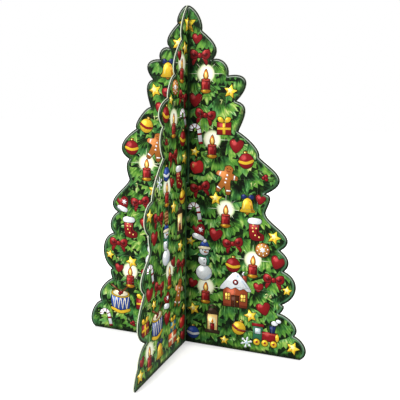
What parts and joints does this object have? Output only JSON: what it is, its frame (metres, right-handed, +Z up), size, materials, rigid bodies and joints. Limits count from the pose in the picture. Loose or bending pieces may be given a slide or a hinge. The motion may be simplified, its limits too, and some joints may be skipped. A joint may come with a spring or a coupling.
{
  "type": "advent calendar",
  "caption": "Free-standing advent calendar of two flat printed fir-tree boards slotted together at right angles, with numbered picture doors on every face.",
  "frame": {"origin": "on the floor under the crossing line of the two trees, at the middle of the side tree's bottom edge", "axes": "+Z up along the crossing line to the tip; +X along the side tree's right wing; the front tree's front wing runs towards -Y"},
  "size_m": [0.2827, 0.2834, 0.4],
  "materials": {
    "printed_cover": "printed in green, semi-gloss varnish",
    "printed_door": "printed in green, semi-gloss varnish",
    "picture_card": "printed pictures, matt, pale raw edge"
  },
  "bodies": {
    "side_tree": {"side_tree_inner_sheet": "picture_card", "side_tree_front_cover": "printed_cover", "side_tree_back_cover": "printed_cover"},
    "front_tree": {"front_tree_inner_sheet": "picture_card", "front_tree_left_cover": "printed_cover", "front_tree_right_cover": "printed_cover"},
    "door_01": {"door_01": "printed_door"},
    "door_02": {"door_02": "printed_door"},
    "door_03": {"door_03": "printed_door"},
    "door_04": {"door_04": "printed_door"},
    "door_05": {"door_05": "printed_door"},
    "door_06": {"door_06": "printed_door"},
    "door_07": {"door_07": "printed_door"},
    "door_08": {"door_08": "printed_door"},
    "door_09": {"door_09": "printed_door"},
    "door_10": {"door_10": "printed_door"},
    "door_11": {"door_11": "printed_door"},
    "door_12": {"door_12": "printed_door"},
    "door_13": {"door_13": "printed_door"},
    "door_14": {"door_14": "printed_door"},
    "door_15": {"door_15": "printed_door"},
    "door_16": {"door_16": "printed_door"},
    "door_17": {"door_17": "printed_door"},
    "door_18": {"door_18": "printed_door"},
    "door_19": {"door_19": "printed_door"},
    "door_20": {"door_20": "printed_door"},
    "door_21": {"door_21": "printed_door"},
    "door_22": {"door_22": "printed_door"},
    "door_23": {"door_23": "printed_door"},
    "door_24": {"door_24": "printed_door"}
  },
  "joints": [
    {"name": "front_tree_lift", "type": "slide", "parent": "side_tree", "child": "front_tree", "axis": [0, 0, 1], "range_m": [0, 0.2]},
    {"name": "door_01_crease", "type": "hinge", "parent": "front_tree", "child": "door_01", "pos_m": [0.0008, 0.081, 0.17], "axis": [0, 0, 1], "range_deg": [0, 170]},
    {"name": "door_02_crease", "type": "hinge", "parent": "side_tree", "child": "door_02", "pos_m": [-0.045, 0.0008, 0.24], "axis": [0, 0, 1], "range_deg": [0, 170]},
    {"name": "door_03_crease", "type": "hinge", "parent": "side_tree", "child": "door_03", "pos_m": [-0.07, -0.0008, 0.18], "axis": [0, 0, -1], "range_deg": [0, 170]},
    {"name": "door_04_crease", "type": "hinge", "parent": "front_tree", "child": "door_04", "pos_m": [-0.0008, -0.045, 0.25], "axis": [0, 0, 1], "range_deg": [0, 170]},
    {"name": "door_05_crease", "type": "hinge", "parent": "side_tree", "child": "door_05", "pos_m": [0.107, 0.0008, 0.084], "axis": [0, 0, -1], "range_deg": [0, 170]},
    {"name": "door_06_crease", "type": "hinge", "parent": "front_tree", "child": "door_06", "pos_m": [-0.0008, 0.045, 0.24], "axis": [0, 0, -1], "range_deg": [0, 170]},
    {"name": "door_07_crease", "type": "hinge", "parent": "side_tree", "child": "door_07", "pos_m": [0.047, -0.0008, 0.282], "axis": [0, 0, 1], "range_deg": [0, 170]},
    {"name": "door_08_crease", "type": "hinge", "parent": "front_tree", "child": "door_08", "pos_m": [-0.0008, 0.097, 0.044], "axis": [0, 0, -1], "range_deg": [0, 170]},
    {"name": "door_09_crease", "type": "hinge", "parent": "front_tree", "child": "door_09", "pos_m": [0.0008, -0.043, 0.28], "axis": [0, 0, -1], "range_deg": [0, 170]},
    {"name": "door_10_crease", "type": "hinge", "parent": "side_tree", "child": "door_10", "pos_m": [0.045, 0.0008, 0.262], "axis": [0, 0, -1], "range_deg": [0, 170]},
    {"name": "door_11_crease", "type": "hinge", "parent": "front_tree", "child": "door_11", "pos_m": [0.0008, 0.105, 0.088], "axis": [0, 0, 1], "range_deg": [0, 170]},
    {"name": "door_12_crease", "type": "hinge", "parent": "side_tree", "child": "door_12", "pos_m": [-0.044, -0.0008, 0.262], "axis": [0, 0, -1], "range_deg": [0, 170]},
    {"name": "door_13_crease", "type": "hinge", "parent": "front_tree", "child": "door_13", "pos_m": [-0.0008, -0.099, 0.052], "axis": [0, 0, 1], "range_deg": [0, 170]},
    {"name": "door_14_crease", "type": "hinge", "parent": "front_tree", "child": "door_14", "pos_m": [0.0008, -0.085, 0.18], "axis": [0, 0, -1], "range_deg": [0, 170]},
    {"name": "door_15_crease", "type": "hinge", "parent": "side_tree", "child": "door_15", "pos_m": [-0.075, 0.0008, 0.14], "axis": [0, 0, 1], "range_deg": [0, 170]},
    {"name": "door_16_crease", "type": "hinge", "parent": "side_tree", "child": "door_16", "pos_m": [0.087, -0.0008, 0.19], "axis": [0, 0, 1], "range_deg": [0, 170]},
    {"name": "door_17_crease", "type": "hinge", "parent": "front_tree", "child": "door_17", "pos_m": [-0.0008, 0.075, 0.132], "axis": [0, 0, -1], "range_deg": [0, 170]},
    {"name": "door_18_crease", "type": "hinge", "parent": "front_tree", "child": "door_18", "pos_m": [0.0008, 0.044, 0.272], "axis": [0, 0, 1], "range_deg": [0, 170]},
    {"name": "door_19_crease", "type": "hinge", "parent": "side_tree", "child": "door_19", "pos_m": [-0.095, -0.0008, 0.084], "axis": [0, 0, -1], "range_deg": [0, 170]},
    {"name": "door_20_crease", "type": "hinge", "parent": "front_tree", "child": "door_20", "pos_m": [-0.0008, -0.077, 0.16], "axis": [0, 0, 1], "range_deg": [0, 170]},
    {"name": "door_21_crease", "type": "hinge", "parent": "side_tree", "child": "door_21", "pos_m": [0.077, 0.0008, 0.172], "axis": [0, 0, -1], "range_deg": [0, 170]},
    {"name": "door_22_crease", "type": "hinge", "parent": "front_tree", "child": "door_22", "pos_m": [0.0008, -0.11, 0.07], "axis": [0, 0, -1], "range_deg": [0, 170]},
    {"name": "door_23_crease", "type": "hinge", "parent": "side_tree", "child": "door_23", "pos_m": [-0.093, 0.0008, 0.04], "axis": [0, 0, 1], "range_deg": [0, 170]},
    {"name": "door_24_crease", "type": "hinge", "parent": "side_tree", "child": "door_24", "pos_m": [0.109, -0.0008, 0.052], "axis": [0, 0, 1], "range_deg": [0, 170]}
  ]
}
